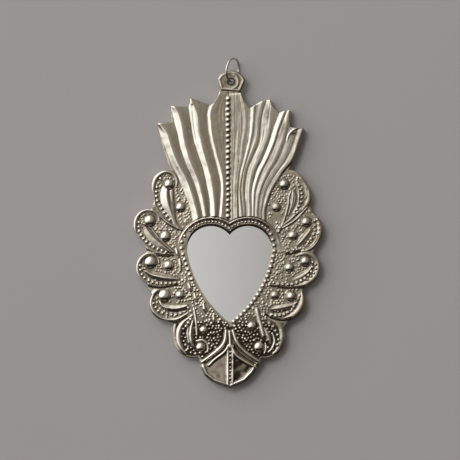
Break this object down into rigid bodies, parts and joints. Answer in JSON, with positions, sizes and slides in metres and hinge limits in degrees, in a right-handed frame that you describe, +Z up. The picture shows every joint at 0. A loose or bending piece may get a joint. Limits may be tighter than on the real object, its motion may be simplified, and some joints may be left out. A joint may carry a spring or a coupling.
{
  "type": "framed wall mirror",
  "caption": "Heart-shaped looking glass in an embossed tin frame pressed as a flaming heart with beaded scrolls, hung by a wire ring through a lug at its top",
  "frame": {"origin": "on the rear face of the back plate, where it lies on the wall, on the mirror's centre line and half way up the frame", "axes": "+X right and +Z up as seen from the front; -Y out of the front, +Y into the wall"},
  "size_m": [0.0947, 0.0115, 0.1655],
  "materials": {
    "embossed_tin": "aged tin, dark in the hollows",
    "plain_tin": "dull aged tin",
    "looking_glass": "polished",
    "card": "matte brown card",
    "ring_wire": "aged tinned wire",
    "clip_tin": "dull tin",
    "solder": "dull solder"
  },
  "bodies": {
    "hanger": {"hanging_ring": "ring_wire"},
    "mirror": {"embossed_front": "embossed_tin", "back_plate": "plain_tin", "mirror_glass": "looking_glass", "backing_card": "card", "mirror_clip_1": "clip_tin", "mirror_clip_2": "clip_tin", "mirror_clip_3": "clip_tin", "mirror_clip_4": "clip_tin", "mirror_clip_5": "clip_tin", "mirror_clip_6": "clip_tin", "clip_solder_1": "solder", "clip_solder_2": "solder", "clip_solder_3": "solder", "clip_solder_4": "solder", "clip_solder_5": "solder", "clip_solder_6": "solder", "rim_tack_1": "solder", "rim_tack_2": "solder", "rim_tack_3": "solder", "rim_tack_4": "solder", "rim_tack_5": "solder", "rim_tack_6": "solder", "rim_tack_7": "solder", "rim_tack_8": "solder", "rim_tack_9": "solder", "rim_tack_10": "solder", "rim_tack_11": "solder", "rim_tack_12": "solder"}
  },
  "joints": [
    {"name": "mirror_swing", "type": "hinge", "parent": "hanger", "child": "mirror", "pos_m": [0.00075, -0.0056, 0.074], "axis": [0, 1, 0], "range_deg": [-100, 140]}
  ]
}
